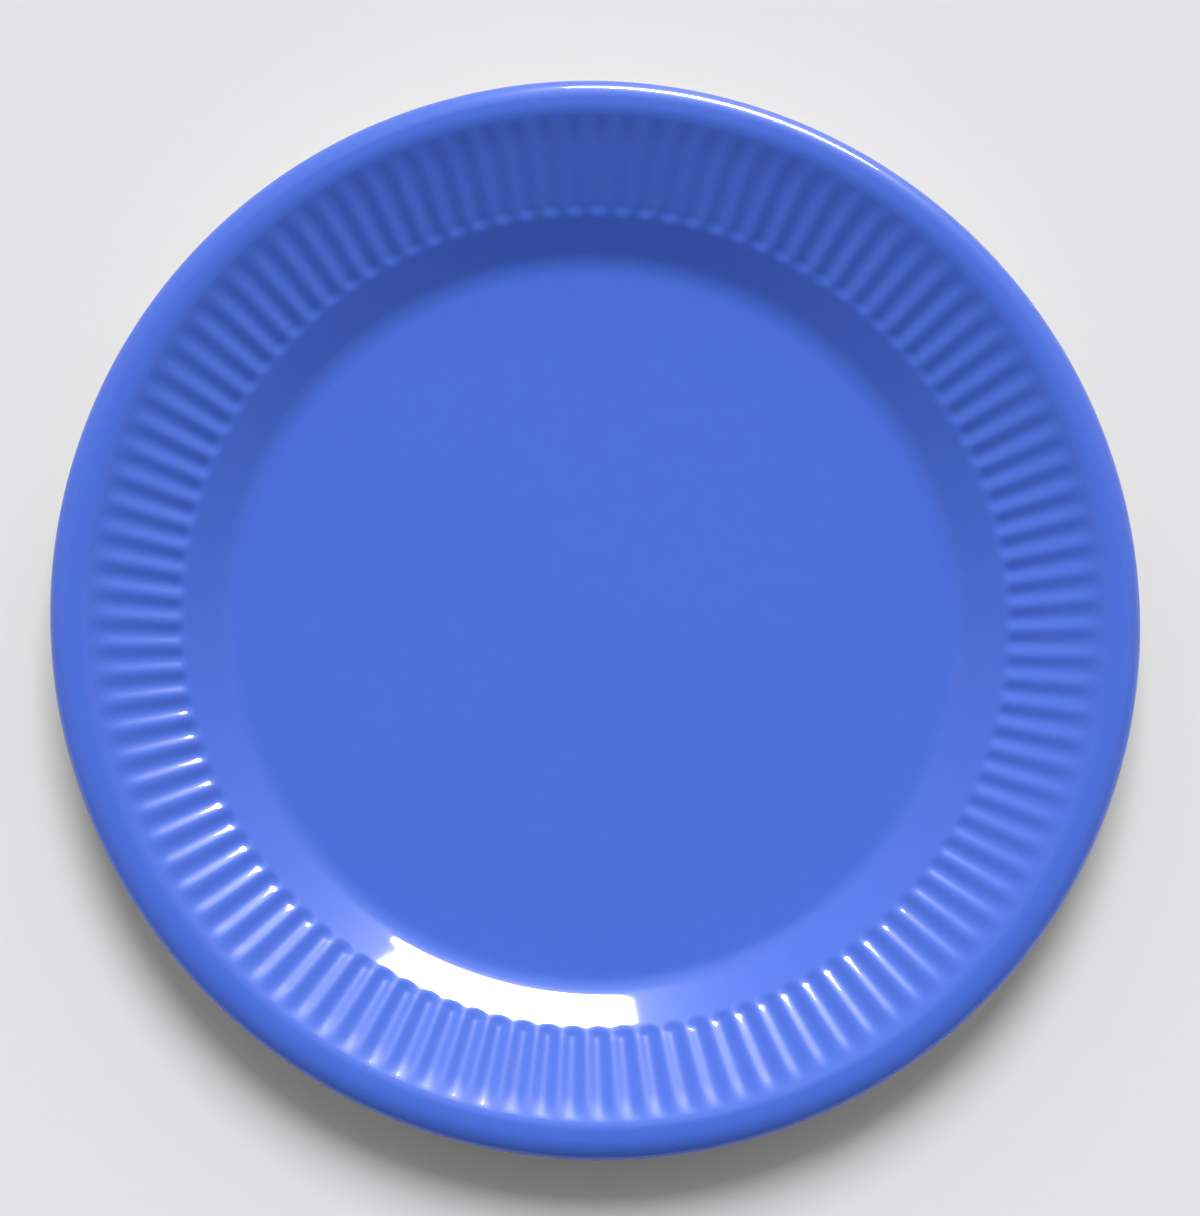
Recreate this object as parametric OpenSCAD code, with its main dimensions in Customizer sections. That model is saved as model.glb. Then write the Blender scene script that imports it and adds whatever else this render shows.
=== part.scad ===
// Round pressed board plate with a fluted wall and a turned-down rim.
// It stands on its floor: the origin is the middle of the floor's underside, and +Z points up.

/* [Plate] */
// Diameter across the outer edge of the rim
plate_d = 230; // [180:1:320]
// Height from the table to the top of the rim
plate_h = 18; // [16:0.5:24]
// Thickness of the coated board
board_t = 0.5; // [0.3:0.05:0.6]

/* [Wall] */
// Upper radius of the bend between the floor and the wall
corner_r = 8; // [3:0.5:12]
// Slope of the plain lower wall, in degrees
wall_slope = 36; // [34:1:46]
// Upper radius of the bend between the plain wall and the fluted band
bend_r = 12; // [4:1:20]
// Slope of the fluted band, in degrees
band_slope = 27; // [20:1:30]
// Width of the fluted band, seen from above
band_w = 19.5; // [14:0.5:22]

/* [Flutes] */
// Distance from one flute to the next, at the middle of their length
flute_pitch = 5.6; // [5.5:0.05:9]
// Radius of the round bar that presses a flute
flute_r = 2; // [1.2:0.1:2.2]
// Depth of a flute near its foot
foot_depth = 0.65; // [0.55:0.05:0.8]
// Depth of a flute near its top
top_depth = 0.9; // [0.65:0.05:1]
// Plain stretch of the band below the flutes
foot_gap = 0.2; // [0.1:0.1:3]
// Plain stretch of the band above the flutes
top_gap = 0.2; // [0.1:0.1:3]

/* [Rim] */
// Upper radius of the shoulder between the fluted band and the rim
shoulder_r = 5; // [3:0.5:12]
// Width of the flat rim between the shoulder and the lip
rim_w = 1.25; // [0.5:0.25:6]
// Upper radius of the lip
lip_r = 5; // [2:0.25:6]
// How far the lip turns down, in degrees
lip_turn = 60; // [30:5:80]

/* [Colours] */
// Colour of the glossy printed face
print_colour = [0.27, 0.43, 0.87];

/* [Hidden] */
// Largest turn between two points of a bend, in degrees
arc_step = 20;
// Facets round the plate, and round a bar, where it is shown as a mesh
round_fn = 180;
bar_fn = 48;

// Unit vector in the plane of the profile, at an angle from +Z towards +X.
function dir(a) = [sin(a), cos(a)];
// Third side of a right triangle.
function leg(long, short) = sqrt(long * long - short * short);
// Points along an arc.
function arc(c, r, from, to) =
    let (n = ceil(abs(to - from) / arc_step))
    [for (i = [0:n]) c + r * dir(from + (to - from) * i / n)];

// Centres of the profile's bends, and the ends of the fluted band on the upper face.
lip_c = [plate_d / 2 - lip_r * sin(lip_turn), plate_h - lip_r];
shoulder_c = [lip_c.x - rim_w, plate_h - shoulder_r];
band_top = shoulder_c + shoulder_r * dir(-band_slope);
band_low = band_top - band_w * [1, tan(band_slope)];
bend_c = band_low - bend_r * dir(-band_slope);
wall_top = bend_c + bend_r * dir(-wall_slope);
wall_drop = wall_top.y - board_t - corner_r * (1 - cos(wall_slope));
corner_c = [wall_top.x - wall_drop / tan(wall_slope) - corner_r * sin(wall_slope), board_t + corner_r];
edge = lip_c + lip_r * dir(lip_turn);

// Ends of the axis of the bar that presses a flute.
along = [cos(band_slope), sin(band_slope)];
foot_up = flute_r - foot_depth;
top_up = flute_r - top_depth;
foot = band_low + (foot_gap + leg(flute_r + board_t, foot_up)) * along + foot_up * dir(-band_slope);
top = band_top - (top_gap + leg(flute_r + board_t, top_up)) * along + top_up * dir(-band_slope);
bar_l = norm(top - foot);
bar_slope = asin((top.y - foot.y) / bar_l);
flute_n = floor(PI * (top.x + foot.x) / flute_pitch);

// One face of the board from the middle outwards, down below the upper one.
function face_line(down) = concat(
    [[0, board_t - down]],
    arc(corner_c, corner_r + down, 180, 180 - wall_slope),
    arc(bend_c, bend_r - down, -wall_slope, -band_slope),
    arc(shoulder_c, shoulder_r - down, -band_slope, 0),
    arc(lip_c, lip_r - down, 0, lip_turn)
);

// The board before its flutes are pressed: out along its upper face, back along the lower one.
module dish() {
    under = face_line(board_t);
    rotate_extrude($fn = round_fn)
        polygon(concat(face_line(0), [for (i = [len(under) - 1:-1:0]) under[i]]));
}

// Round bar with a ball at each end.
module bar(r) {
    rotate_extrude($fn = bar_fn)
        intersection() {
            translate([0, -bar_l / 2 - r])
                square([r, bar_l + 2 * r]);
            union() {
                translate([0, -bar_l / 2])
                    square([r, bar_l]);
                for (end = [-1, 1])
                    translate([0, end * bar_l / 2])
                        circle(r, $fn = bar_fn);
            }
        }
}

// Bar laid along one flute, in the plane of the section.
module laid_bar(r) {
    middle = (foot + top) / 2;
    translate([middle.x, 0, middle.y])
        rotate([0, 90 - bar_slope, 0])
            bar(r);
}

// A rib under the board is the lower part of a wider bar. It is cut off inside the board.
module rib() {
    inside = (band_low + band_top - board_t * dir(-band_slope)) / 2;
    reach = flute_r + board_t;
    intersection() {
        laid_bar(reach);
        translate([inside.x, 0, inside.y])
            rotate([0, 90 - band_slope, 0])
                translate([0, -reach, -band_w])
                    cube([2 * reach, 2 * reach, 2 * band_w]);
    }
}

// One child for each flute, like spokes.
module around() {
    for (i = [0:flute_n - 1])
        rotate([0, 0, 360 * i / flute_n])
            children();
}

// The press pushes a groove into the upper face and a rib out of the lower one.
module plate() {
    color(print_colour)
        difference() {
            union() {
                dish();
                around() rib();
            }
            around() laid_bar(flute_r);
        }
}

plate();
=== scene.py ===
# %% [markdown]
# # A pressed board plate
#
# A disposable plate starts as a flat round blank of board, printed and varnished on one side.
# A heated press closes on it once and gives it everything at the same time: a flat floor, a plain
# lower wall, a ring of short flutes that take up the spare board, and a rim whose edge turns down.
# Nothing is joined on, so the plate is one closed shell, half a millimetre thick.
#
# The lesson follows the press. First the section of the board is drawn, then it is spun round the
# axis, then the flutes are pressed into the wall, and last come the finishes, the floor, the light
# and the camera.

# %% The frame
import math
import random

import bmesh
import bpy
from mathutils import Matrix, Vector, noise


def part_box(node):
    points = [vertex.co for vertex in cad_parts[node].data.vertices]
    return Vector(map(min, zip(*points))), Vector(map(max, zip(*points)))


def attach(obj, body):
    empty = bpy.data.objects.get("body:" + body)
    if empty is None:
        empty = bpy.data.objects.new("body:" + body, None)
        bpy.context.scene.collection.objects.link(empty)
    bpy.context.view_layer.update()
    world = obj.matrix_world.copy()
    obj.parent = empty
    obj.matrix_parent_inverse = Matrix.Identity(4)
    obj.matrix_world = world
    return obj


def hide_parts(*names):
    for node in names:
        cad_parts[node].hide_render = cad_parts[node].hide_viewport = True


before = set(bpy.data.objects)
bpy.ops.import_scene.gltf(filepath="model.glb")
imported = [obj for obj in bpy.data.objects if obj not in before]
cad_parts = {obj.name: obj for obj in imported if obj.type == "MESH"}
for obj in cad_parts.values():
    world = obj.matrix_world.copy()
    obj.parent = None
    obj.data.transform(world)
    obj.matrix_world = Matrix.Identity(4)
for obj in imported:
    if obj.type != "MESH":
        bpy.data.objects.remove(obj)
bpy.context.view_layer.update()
plate_low, plate_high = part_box("plate")
print("plate box in mm:", [round(1000 * c, 2) for c in (*plate_low, *plate_high)])

# %% [markdown]
# ## Sizes
#
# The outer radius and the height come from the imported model. The rest are the sizes that a
# toolmaker would write on the drawing of the press: slopes, bend radii and the board's thickness.
# They are written in millimetres, and MM turns them into Blender's metres. The bend between the
# wall and the band is drawn softer than in the solid, and the band is a little narrower, so that
# the light runs softly round the feet of the flutes. Away from the flutes the shell lies within
# half a millimetre of the solid.
#
# The flutes have their own sizes: how deep they are near the foot and near the top, their half
# width as a share of the distance between two of them, how far below the band they start, and how
# long the round foot is beside its half width. Above them come the length over which they fade out
# towards the rim, and a plain gap.

# %% Sizes of the plate
MM = 0.001
RADIUS = plate_high.x
HEIGHT = plate_high.z
BOARD = 0.5 * MM

CORNER_R = 8 * MM
WALL_SLOPE = math.radians(36)
BEND_R = 30 * MM
BAND_SLOPE = math.radians(27)
BAND_W = 16.5 * MM
SHOULDER_R = 5 * MM
RIM_W = 1.25 * MM
LIP_R = 5 * MM
LIP_TURN = math.radians(60)

FLUTES = 108
FOOT_DEPTH = 0.7 * MM
TOP_DEPTH = 0.6 * MM
FLUTE_SHARE = 0.5
FOOT_START = -4.2 * MM
FOOT_STRETCH = 1.0
TOP_GAP = 0.2 * MM
FADE = 6.5 * MM
rim_pitch = 2 * math.pi * RADIUS / FLUTES
print("flutes:", FLUTES, "pitch at the rim in mm:", round(rim_pitch / MM, 2))

# %% [markdown]
# ## The section
#
# Seen in section, the board is a thin strip with four bends: the corner of the floor, the soft
# bend under the fluted band, the shoulder and the lip. Each place on its upper face is kept as a
# station: its distance from the axis, its height and the slope of the board there. From a station
# the lower face follows by going one board thickness along the normal, so both faces stay parallel
# round every bend. Drawing only the upper face and giving it thickness with a modifier would work
# too, but with stations the cut edge can be rounded, one point at a time.

# %% Stations along the upper face
def normal(slope):
    """Unit normal of the upper face in the plane of the section."""
    return Vector((-math.sin(slope), math.cos(slope)))


def bend(centre, radius, first, last, rows):
    """Stations round a bend; a negative radius bends round a centre above the board."""
    slopes = [first + (last - first) * i / rows for i in range(rows + 1)]
    return [(centre + radius * normal(slope), slope) for slope in slopes]


def straight(start, end, slope, shares):
    """Stations on a straight stretch, at the given shares of its length."""
    return [(start.lerp(end, share), slope) for share in shares]


def even(rows):
    """Shares that cut a stretch in equal rows, its two ends left out."""
    return [i / rows for i in range(1, rows)]


lip_c = Vector((RADIUS - LIP_R * math.sin(LIP_TURN), HEIGHT - LIP_R))
shoulder_c = Vector((lip_c.x - RIM_W, HEIGHT - SHOULDER_R))
band_top = shoulder_c + SHOULDER_R * normal(BAND_SLOPE)
band_low = band_top - BAND_W * Vector((1, math.tan(BAND_SLOPE)))
bend_c = band_low - BEND_R * normal(BAND_SLOPE)
wall_top = bend_c + BEND_R * normal(WALL_SLOPE)
wall_drop = wall_top.y - BOARD - CORNER_R * (1 - math.cos(WALL_SLOPE))
wall_low = wall_top - wall_drop * Vector((1 / math.tan(WALL_SLOPE), 1))
corner_c = wall_low + CORNER_R * normal(WALL_SLOPE)
middle = Vector((0, BOARD))
corner_low = Vector((corner_c.x, BOARD))
print("floor radius in mm:", round(corner_c.x / MM, 2))
print("band in mm: from", round(band_low.x / MM, 2), "to", round(band_top.x / MM, 2))

# %% The rows of the section
FLOOR_ROWS = 9
CORNER_ROWS = 6
WALL_ROWS = 3
BEND_ROWS = 10
BAND_ROWS = 6
FADE_ROWS = 7
SHOULDER_ROWS = 4
LIP_ROWS = 8

band_length = (band_top - band_low).length
foot_width = FLUTE_SHARE * 2 * math.pi * band_low.x / FLUTES
top_width = FLUTE_SHARE * 2 * math.pi * band_top.x / FLUTES
foot_end = FOOT_START + FOOT_STRETCH * foot_width
top_end = band_length - TOP_GAP - FADE

band_rows = [top_end * share for share in even(BAND_ROWS)]
band_rows += [top_end + FADE * share for share in [0.0] + even(FADE_ROWS) + [1.0]]
band_shares = [row / band_length for row in band_rows]

upper = straight(middle, corner_low, 0.0, [0.0] + even(FLOOR_ROWS))
upper += bend(corner_c, -CORNER_R, 0.0, WALL_SLOPE, CORNER_ROWS)
upper += straight(wall_low, wall_top, WALL_SLOPE, even(WALL_ROWS))
upper += bend(bend_c, BEND_R, WALL_SLOPE, BAND_SLOPE, BEND_ROWS)
upper += straight(band_low, band_top, BAND_SLOPE, band_shares)
upper += bend(shoulder_c, SHOULDER_R, BAND_SLOPE, 0.0, SHOULDER_ROWS)
upper += bend(lip_c, LIP_R, 0.0, -LIP_TURN, LIP_ROWS)
lower = [(point - BOARD * normal(slope), slope) for point, slope in upper]
print("stations on each face:", len(upper))

# %% [markdown]
# ## Spinning the shell
#
# The stations become a chain of vertices, out along the upper face, round the cut edge and back
# along the lower face to the axis. One full spin of that chain would do, but bmesh.ops.spin slows
# down with every step that it has made. So the chain is first spun through the width of a single
# flute, in eight steps, and that wedge is then copied round the axis, like the slices of a cake.
# Every flute gets the same vertices this way, and none is cut unevenly. Three numbers are stored
# on each vertex and are copied with it: the distance up the fluted band, the slope, and whether
# the vertex lies on the printed face.

# %% The chain of vertices
STEPS_PER_FLUTE = 8
EDGE_ROUND = 0.3
up_band = Vector((math.cos(BAND_SLOPE), math.sin(BAND_SLOPE)))

shell = bmesh.new()
along_layer = shell.verts.layers.float.new("along")
slope_layer = shell.verts.layers.float.new("slope")
print_layer = shell.verts.layers.float.new("printed")


def add_station(point, slope, printed):
    """A vertex of the chain, which remembers where on the band it lies."""
    vertex = shell.verts.new((point.x, 0, point.y))
    offset = point if printed else point + BOARD * normal(slope)
    vertex[along_layer] = (offset - band_low).dot(up_band)
    vertex[slope_layer] = slope
    vertex[print_layer] = printed
    return vertex


edge_top, edge_slope = upper[-1]
edge_low = lower[-1][0]
edge_out = Vector((math.cos(edge_slope), math.sin(edge_slope)))
round_r = EDGE_ROUND * BOARD
cut_edge = [edge_top.lerp(edge_low, EDGE_ROUND), edge_top.lerp(edge_low, 1 - EDGE_ROUND)]
upper[-1] = (edge_top - round_r * edge_out, edge_slope)
lower[-1] = (edge_low - round_r * edge_out, edge_slope)

chain = [add_station(point, slope, 1.0) for point, slope in upper]
chain += [add_station(point, edge_slope, 0.0) for point in cut_edge]
chain += [add_station(point, slope, 0.0) for point, slope in reversed(lower)]
links = [shell.edges.new(pair) for pair in zip(chain, chain[1:])]
print("vertices in the chain:", len(chain))

# %% The wedge and its copies
MERGE_DISTANCE = 0.001 * MM
flute_turn = 2 * math.pi / FLUTES
bmesh.ops.spin(
    shell,
    geom=chain + links,
    cent=(0, 0, 0),
    axis=(0, 0, 1),
    angle=flute_turn,
    steps=STEPS_PER_FLUTE,
    use_merge=False,
)
wedge = shell.verts[:] + shell.edges[:] + shell.faces[:]
bmesh.ops.spin(
    shell,
    geom=wedge,
    cent=(0, 0, 0),
    axis=(0, 0, 1),
    angle=2 * math.pi - flute_turn,
    steps=FLUTES - 1,
    use_merge=False,
    use_duplicate=True,
)
bmesh.ops.remove_doubles(shell, verts=shell.verts, dist=MERGE_DISTANCE)
bmesh.ops.recalc_face_normals(shell, faces=shell.faces)
open_edges = [edge for edge in shell.edges if len(edge.link_faces) != 2]
print("vertices:", len(shell.verts), "faces:", len(shell.faces))
print("open edges:", len(open_edges))

# %% [markdown]
# ## Pressing the flutes
#
# The press has a ring of round-nosed bars. Each one pushes the board down along its normal, most
# in the middle of the bar and not at all at its sides, and a cosine joins the two smoothly. The
# push is worked out for each vertex from its distance to the nearest bar. It moves both faces
# together, so the board stays nearly as thick as before, and a groove above is a rib below.
# Cutting the grooves out with round bars would work too, but it leaves sharp edges, and pressed
# board bends softly.
#
# The two ends of a bar differ. The foot is round, and it reaches below the band into the bend, so
# that the grooves cut a scalloped edge into the wall. At the top the bar lifts away slowly, and
# the groove fades out before the shoulder. Real flutes differ a little from one to the next too,
# so each bar gets its own small share of depth from a seeded draw.

# %% The bars of the press
DEPTH_SPREAD = 0.06
PRESS_SEED = 7
random.seed(PRESS_SEED)
bar_shares = [1 + random.uniform(-DEPTH_SPREAD, DEPTH_SPREAD) for _ in range(FLUTES)]


def push(along, azimuth, radius):
    """How far the press moves the board down at a place on the band."""
    bar = round(azimuth / flute_turn)
    across = radius * (azimuth - bar * flute_turn)
    share = min(max((along - foot_end) / (top_end - foot_end), 0.0), 1.0)
    past_end = along - (foot_end + share * (top_end - foot_end))
    width = foot_width + share * (top_width - foot_width)
    depth = bar_shares[bar % FLUTES] * (FOOT_DEPTH + share * (TOP_DEPTH - FOOT_DEPTH))
    if past_end >= FADE:
        return 0.0
    if past_end > 0:
        depth *= math.cos(math.pi / 2 * past_end / FADE)
        past_end = 0.0
    distance = min(math.hypot(across, past_end / FOOT_STRETCH) / width, 1.0)
    return depth * (1 + math.cos(math.pi * distance)) / 2


pressed = 0
for vertex in shell.verts:
    azimuth = math.atan2(vertex.co.y, vertex.co.x)
    depth = push(vertex[along_layer], azimuth, math.hypot(vertex.co.x, vertex.co.y))
    if depth:
        outward, upward = normal(vertex[slope_layer])
        facing = Vector((outward * math.cos(azimuth), outward * math.sin(azimuth), upward))
        vertex.co -= depth * facing
        pressed += 1
print("vertices moved by the press:", pressed)

# %% [markdown]
# ## The give of the board
#
# A thin pressed floor is never quite flat. It lifts a little here and there as the board dries,
# here by a third of a millimetre at most, and the gloss shows it. The lift is a slow noise that
# only goes up, so the plate still stands on its floor, and it fades out before the corner of the
# wall. A bump in the varnish could look much the same from above, but here the mesh itself moves.

# %% Lifting the floor
LIFT = 0.35 * MM
LIFT_SCALE = 22
LIFT_BIAS = 0.5
lifted = 0.0
for vertex in shell.verts:
    reach = math.hypot(vertex.co.x, vertex.co.y) / corner_c.x
    if reach < 1:
        wave = noise.noise(Vector((vertex.co.x, vertex.co.y, 0)) * LIFT_SCALE)
        lift = LIFT * max(0.0, LIFT_BIAS + wave) * (1 - reach ** 2) ** 2
        vertex.co.z += lift
        lifted = max(lifted, lift)
print("highest lift of the floor in mm:", round(lifted / MM, 3))

# %% [markdown]
# ## Writing shaders as sums
#
# A node tree is easier to read as arithmetic. The Value class wraps one output socket and turns
# + and * into Math nodes, also where a plain number stands on the left. Every other node comes
# from one method of Finish, which sets the node's own settings first and then its sockets. Those
# go by name, or by number where a node has several of one name, and the outputs go by number.

# %% Value and Finish
class Value:
    """A number worked out over a surface, which takes part in sums."""

    def __init__(self, finish, socket):
        self.finish = finish
        self.socket = socket

    def _math(self, operation, first, second):
        settings = {"operation": operation}
        return self.finish.node("ShaderNodeMath", settings, {0: first, 1: second})[0]

    def __add__(self, other):
        return self._math("ADD", self, other)

    def __mul__(self, other):
        return self._math("MULTIPLY", self, other)

    __radd__ = __add__
    __rmul__ = __mul__


class Finish:
    """One material or world, and the nodes that are added to its tree."""

    def __init__(self, owner):
        owner.use_nodes = True
        self.owner = owner
        self.tree = owner.node_tree
        self.tree.nodes.clear()

    def node(self, kind, settings=None, inputs=None):
        """Adds a node and returns its outputs, each wrapped as a Value."""
        node = self.tree.nodes.new(kind)
        for name, setting in (settings or {}).items():
            setattr(node, name, setting)
        for name, value in (inputs or {}).items():
            if isinstance(value, Value):
                self.tree.links.new(value.socket, node.inputs[name])
            else:
                node.inputs[name].default_value = value
        return [Value(self, socket) for socket in node.outputs]

    def noise(self, where, scale, detail=2.0, roughness=0.5):
        """Noise from 0 to 1, with scale in waves for each metre."""
        inputs = {"Vector": where, "Scale": scale, "Detail": detail, "Roughness": roughness}
        return self.node("ShaderNodeTexNoise", {"noise_dimensions": "3D"}, inputs)[0]

    def ramp(self, value, low, high, at_low, at_high):
        """A number that eases from at_low to at_high as value goes from low to high."""
        settings = {"interpolation_type": "SMOOTHSTEP"}
        inputs = {"Value": value, "From Min": low, "From Max": high}
        inputs.update({"To Min": at_low, "To Max": at_high})
        return self.node("ShaderNodeMapRange", settings, inputs)[0]

    def mix(self, share, first, second):
        """A colour between two, by a share from 0 to 1."""
        sockets = {0: share, 6: first, 7: second}
        return self.node("ShaderNodeMix", {"data_type": "RGBA"}, sockets)[2]

    def bump(self, height, depth, strength):
        """A normal that is tilted as if the height stood out by up to depth."""
        inputs = {"Strength": strength, "Distance": depth, "Height": height}
        return self.node("ShaderNodeBump", None, inputs)[0]


def linear(red, green, blue):
    """A colour as it looks on a screen, turned into the linear one that a socket takes."""
    def channel(c):
        return c / 12.92 if c <= 0.04045 else ((c + 0.055) / 1.055) ** 2.4
    return (channel(red), channel(green), channel(blue), 1.0)


# %% [markdown]
# ## The coated face
#
# The face is a flat blue ink under a clear varnish. Two layers make that look: a fairly dull base
# with the colour, and a coat that reflects the lights sharply. One glossy layer would do for a
# perfectly smooth plate, but then the grain of the board would roughen the reflections too. Over
# the base runs a faint mottle, because ink sinks unevenly into board, and the board's fine grain
# and slower ripple show through as a bump. The coat has its own normal, which that bump leaves
# alone. It stays as smooth as varnish, and the edges of what it reflects stay clean.

# %% Making the coated face
OBJECT_PLACE = 3
MOTTLE_SCALE = 260.0
CLOUD_SCALE = 28.0
GRAIN_SCALE = 1500.0
RIPPLE_SCALE = 420.0
FACE_RELIEF = 0.02 * MM
face_blue = linear(0.288, 0.442, 0.87)
face_deep = linear(0.254, 0.402, 0.835)

coated = Finish(bpy.data.materials.new("coated_face"))
place = coated.node("ShaderNodeTexCoord")[OBJECT_PLACE]
mottle = coated.noise(place, MOTTLE_SCALE, detail=4.0, roughness=0.6)
cloud = coated.noise(place, CLOUD_SCALE, detail=2.0)
grain = coated.noise(place, GRAIN_SCALE, detail=3.0, roughness=0.55)
ripple = coated.noise(place, RIPPLE_SCALE, detail=1.0)
ink = coated.mix(mottle * 0.6 + cloud * 0.4, face_blue, face_deep)
relief = grain * 0.35 + ripple * 0.65
bump = coated.bump(relief, FACE_RELIEF, strength=0.25)
coated_shader = coated.node("ShaderNodeBsdfPrincipled", None, {
    "Base Color": ink,
    "Roughness": 0.3 + mottle * 0.12,
    "IOR": 1.5,
    "Coat Weight": 1.0,
    "Specular IOR Level": 0.15,
    "Coat Roughness": 0.05,
    "Coat IOR": 1.5,
    "Normal": bump,
})[0]
coated.node("ShaderNodeOutputMaterial", None, {"Surface": coated_shader})
print("coated face:", len(coated.tree.nodes), "nodes")

# %% [markdown]
# ## The bare board
#
# The underside has no varnish. It is plain white board, matt, with short fibres that lie every
# way and slightly darker patches. One round noise would look like sand, so two stretched ones are
# added, one along X and one along Y, and together they look felted.

# %% Making the bare board
FIBRE_SCALE = 1800.0
FIBRE_STRETCH = 0.25
PULP_SCALE = 120.0
BOARD_RELIEF = 0.04 * MM
board_white = linear(0.93, 0.92, 0.89)
board_grey = linear(0.84, 0.83, 0.79)

bare = Finish(bpy.data.materials.new("bare_board"))
place = bare.node("ShaderNodeTexCoord")[OBJECT_PLACE]
along_x = {"Vector": place, "Scale": (FIBRE_STRETCH, 1.0, 1.0)}
along_y = {"Vector": place, "Scale": (1.0, FIBRE_STRETCH, 1.0)}
long_x = bare.node("ShaderNodeMapping", None, along_x)[0]
long_y = bare.node("ShaderNodeMapping", None, along_y)[0]
fibres_x = bare.noise(long_x, FIBRE_SCALE, detail=3.0)
fibres_y = bare.noise(long_y, FIBRE_SCALE, detail=3.0)
fibres = fibres_x * 0.5 + fibres_y * 0.5
pulp = bare.noise(place, PULP_SCALE, detail=3.0)
felt = bare.mix(fibres * 0.7 + pulp * 0.3, board_grey, board_white)
bump = bare.bump(fibres, BOARD_RELIEF, strength=0.5)
bare_shader = bare.node("ShaderNodeBsdfPrincipled", None, {
    "Base Color": felt,
    "Roughness": 0.82 + pulp * 0.1,
    "Normal": bump,
})[0]
bare.node("ShaderNodeOutputMaterial", None, {"Surface": bare_shader})
print("bare board:", len(bare.tree.nodes), "nodes")

# %% [markdown]
# ## Dressing the shell
#
# A face belongs to the printed side if all its vertices do, so the cut edge and the underside stay
# bare board. Two objects, one for each finish, could be dressed more simply, but they would have
# open edges where they meet. So one mesh carries both materials. It becomes an object at the
# origin, which rides on the plate's body and takes the place of the plain solid.

# %% The finished piece
PRINTED_SLOT = 0
BARE_SLOT = 1
for face in shell.faces:
    face.smooth = True
    printed = all(vertex[print_layer] > 0.5 for vertex in face.verts)
    face.material_index = PRINTED_SLOT if printed else BARE_SLOT
for layer in (along_layer, slope_layer, print_layer):
    shell.verts.layers.float.remove(layer)

plate_mesh = bpy.data.meshes.new("pressed_plate")
shell.to_mesh(plate_mesh)
shell.free()
plate_mesh.materials.append(coated.owner)
plate_mesh.materials.append(bare.owner)
pressed_plate = bpy.data.objects.new("pressed_plate", plate_mesh)
bpy.context.scene.collection.objects.link(pressed_plate)
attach(pressed_plate, "root")
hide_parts("plate")
print("triangles:", sum(len(face.vertices) - 2 for face in plate_mesh.polygons))

# %% [markdown]
# ## The floor
#
# The plate stands on a plain pale table top, much larger than the view. It is only a stage, so it
# isn't part of the object. It has no gloss at all, because a rough gloss turns into a glare where
# the table is seen at a low angle against the lamps. It lies a twentieth of a millimetre below the
# plate, so that no two faces share one plane.

# %% Laying the floor
FLOOR_HALF = 2.0
FLOOR_DROP = 0.05 * MM
table_grey = linear(0.89, 0.89, 0.9)

table_bm = bmesh.new()
bmesh.ops.create_grid(table_bm, x_segments=1, y_segments=1, size=FLOOR_HALF)
table_mesh = bpy.data.meshes.new("table_top")
table_bm.to_mesh(table_mesh)
table_bm.free()
table_top = bpy.data.objects.new("table_top", table_mesh)
bpy.context.scene.collection.objects.link(table_top)
table_top.location.z = -FLOOR_DROP

pale = Finish(bpy.data.materials.new("pale_table"))
pale_shader = pale.node("ShaderNodeBsdfPrincipled", None, {
    "Base Color": table_grey,
    "Roughness": 1.0,
    "Specular IOR Level": 0.0,
})[0]
pale.node("ShaderNodeOutputMaterial", None, {"Surface": pale_shader})
table_mesh.materials.append(pale.owner)
print("table top in metres:", [round(c, 2) for c in table_top.dimensions])

# %% [markdown]
# ## The light
#
# A glossy plate shows its lights as much as its colour, so each lamp here has one task. The glint
# lamp is a low ellipse beyond the far side. It is seen only in the gloss: the near wall and the
# far lip mirror it as a white crescent and a thin line, and it gives no other light. The lighting
# comes from a sun lamp higher on the same side, as wide as a large window, so its shadows are
# soft, and it lights the table evenly near and far. The gloss doesn't show it, much as a
# photographer takes a reflection away with a filter. The sky fills in the rest. It is brighter
# beyond the plate than on the near side, so the far wall, which faces the near side, falls darker.
# It is dimmer straight above, because that part is what the floor of the plate mirrors.

# %% The sky
SKY_DIRECTION = 0
SKY_BEHIND = 0.12
SKY_AHEAD = 0.75
SKY_OVERHEAD = 0.55
OVERHEAD_START = 0.8
white = (1.0, 1.0, 1.0, 1.0)

sky = Finish(bpy.data.worlds.new("studio_sky"))
bpy.context.scene.world = sky.owner
direction = sky.node("ShaderNodeTexCoord")[SKY_DIRECTION]
_, y, z = sky.node("ShaderNodeSeparateXYZ", None, {"Vector": direction})
ahead = sky.ramp(y, -1.0, 1.0, SKY_BEHIND, SKY_AHEAD)
overhead = sky.ramp(z, OVERHEAD_START, 1.0, 1.0, SKY_OVERHEAD)
backdrop = sky.node("ShaderNodeBackground", None, {
    "Color": white,
    "Strength": ahead * overhead,
})[0]
sky.node("ShaderNodeOutputWorld", None, {"Surface": backdrop})
print("sky:", len(sky.tree.nodes), "nodes")


# %% The lamps
def stand_lamp(lamp, azimuth, elevation, distance):
    """Sets a lamp up to face the plate from an azimuth and an elevation in degrees."""
    turn = math.radians(azimuth)
    rise = math.radians(elevation)
    where = Vector((
        math.cos(rise) * math.cos(turn),
        math.cos(rise) * math.sin(turn),
        math.sin(rise),
    ))
    stand = bpy.data.objects.new(lamp.name, lamp)
    stand.location = distance * where
    stand.rotation_euler = where.to_track_quat("Z", "Y").to_euler()
    bpy.context.scene.collection.objects.link(stand)
    print(lamp.name, "at", [round(c, 3) for c in stand.location])
    return stand


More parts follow.
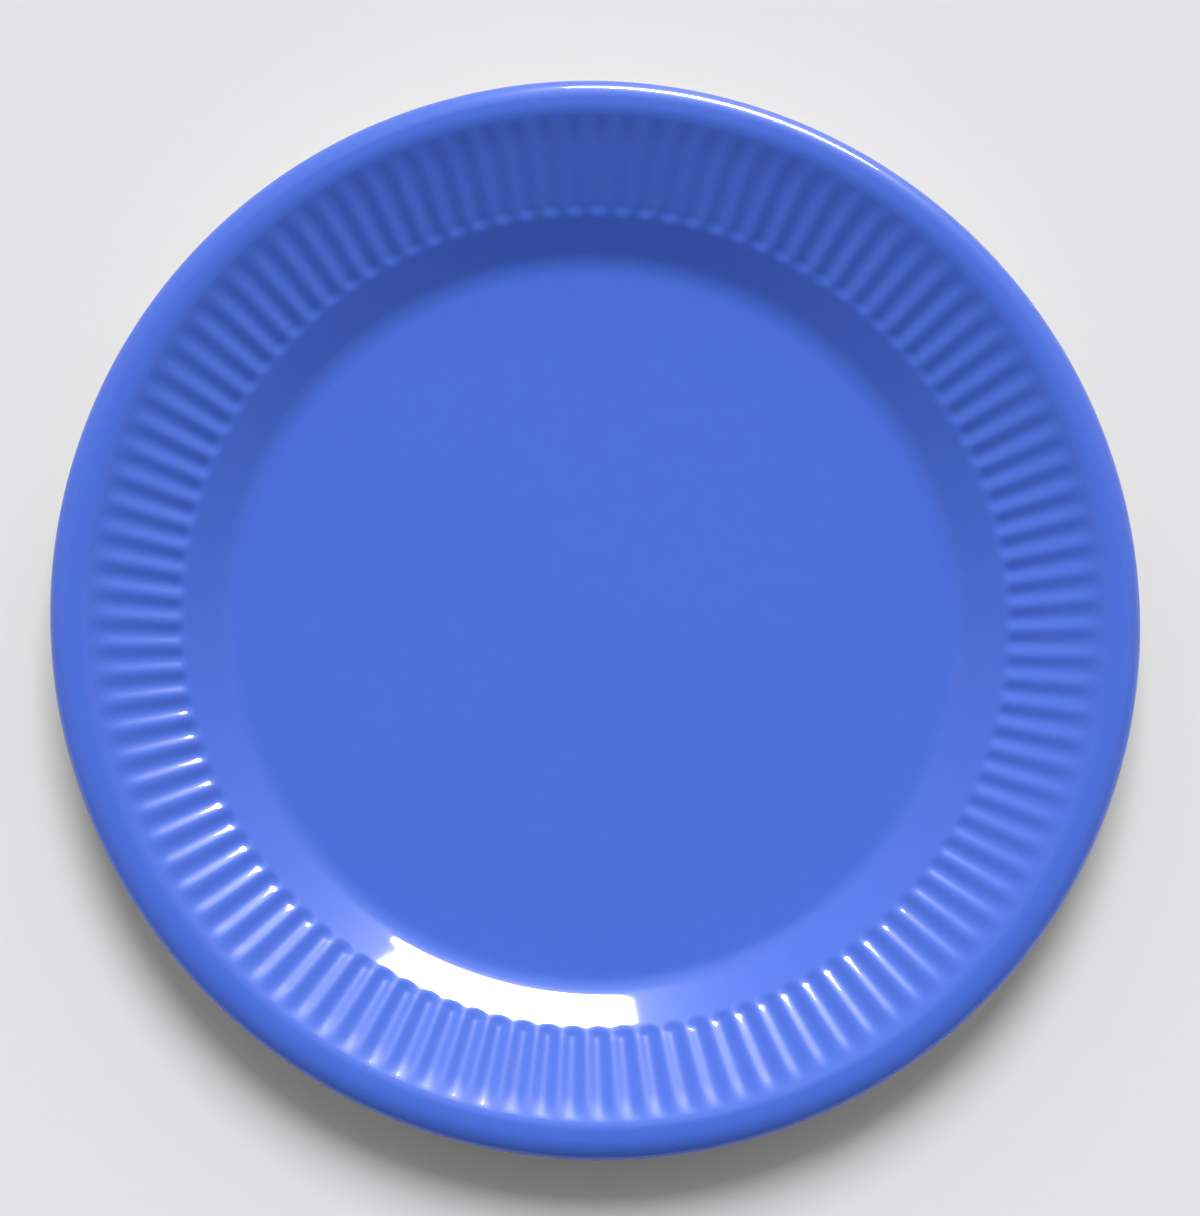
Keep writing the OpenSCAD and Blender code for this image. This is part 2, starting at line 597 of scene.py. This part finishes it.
# %% The glint lamp, seen only in the gloss
GLINT_AZIMUTH = 74.5
GLINT_ELEVATION = 17.5
GLINT_DISTANCE = 1.2
GLINT_WIDTH = 0.62
GLINT_HEIGHT = 0.18
GLINT_WATTS = 40.0

glint = bpy.data.lights.new("glint_lamp", "AREA")
glint.shape = "ELLIPSE"
glint.size = GLINT_WIDTH
glint.size_y = GLINT_HEIGHT
glint.energy = GLINT_WATTS
glint_stand = stand_lamp(glint, GLINT_AZIMUTH, GLINT_ELEVATION, GLINT_DISTANCE)
glint_stand.visible_diffuse = False

# %% The soft daylight, hidden from the gloss
DAYLIGHT_AZIMUTH = 90
DAYLIGHT_ELEVATION = 50
DAYLIGHT_DISTANCE = 2.0
DAYLIGHT_SPREAD = math.radians(32)
DAYLIGHT_STRENGTH = 2.5

daylight = bpy.data.lights.new("soft_daylight", "SUN")
daylight.angle = DAYLIGHT_SPREAD
daylight.energy = DAYLIGHT_STRENGTH
daylight_stand = stand_lamp(daylight, DAYLIGHT_AZIMUTH, DAYLIGHT_ELEVATION, DAYLIGHT_DISTANCE)
daylight_stand.visible_glossy = False

# %% [markdown]
# ## The camera
#
# The plate is looked at from above, about ten degrees off its axis. A camera that looks down has
# no natural up, so its axes are built one by one: the way out of the picture, a right hand square
# to it and to the top of the picture, and the up that completes them.

# %% Placing the camera
LEAN_X = math.radians(-4.3)
LEAN_Y = math.radians(-9)
CAMERA_DISTANCE = 0.8
LENS = 111.8
SENSOR = 36.0
AIM = Vector((0.2 * MM, 1.0 * MM, 10 * MM))

out = Vector((math.tan(LEAN_X), math.tan(LEAN_Y), 1)).normalized()
right = Vector((0, 1, 0)).cross(out).normalized()
up = out.cross(right)
camera_data = bpy.data.cameras.new("camera")
camera_data.sensor_width = SENSOR
camera_data.lens = LENS
camera = bpy.data.objects.new("camera", camera_data)
axes = Matrix((right, up, out)).transposed().to_4x4()
camera.matrix_world = Matrix.Translation(AIM + CAMERA_DISTANCE * out) @ axes
bpy.context.scene.collection.objects.link(camera)
bpy.context.scene.camera = camera
bpy.context.scene.view_settings.view_transform = "Standard"
print("camera at", [round(c, 3) for c in camera.matrix_world.translation])
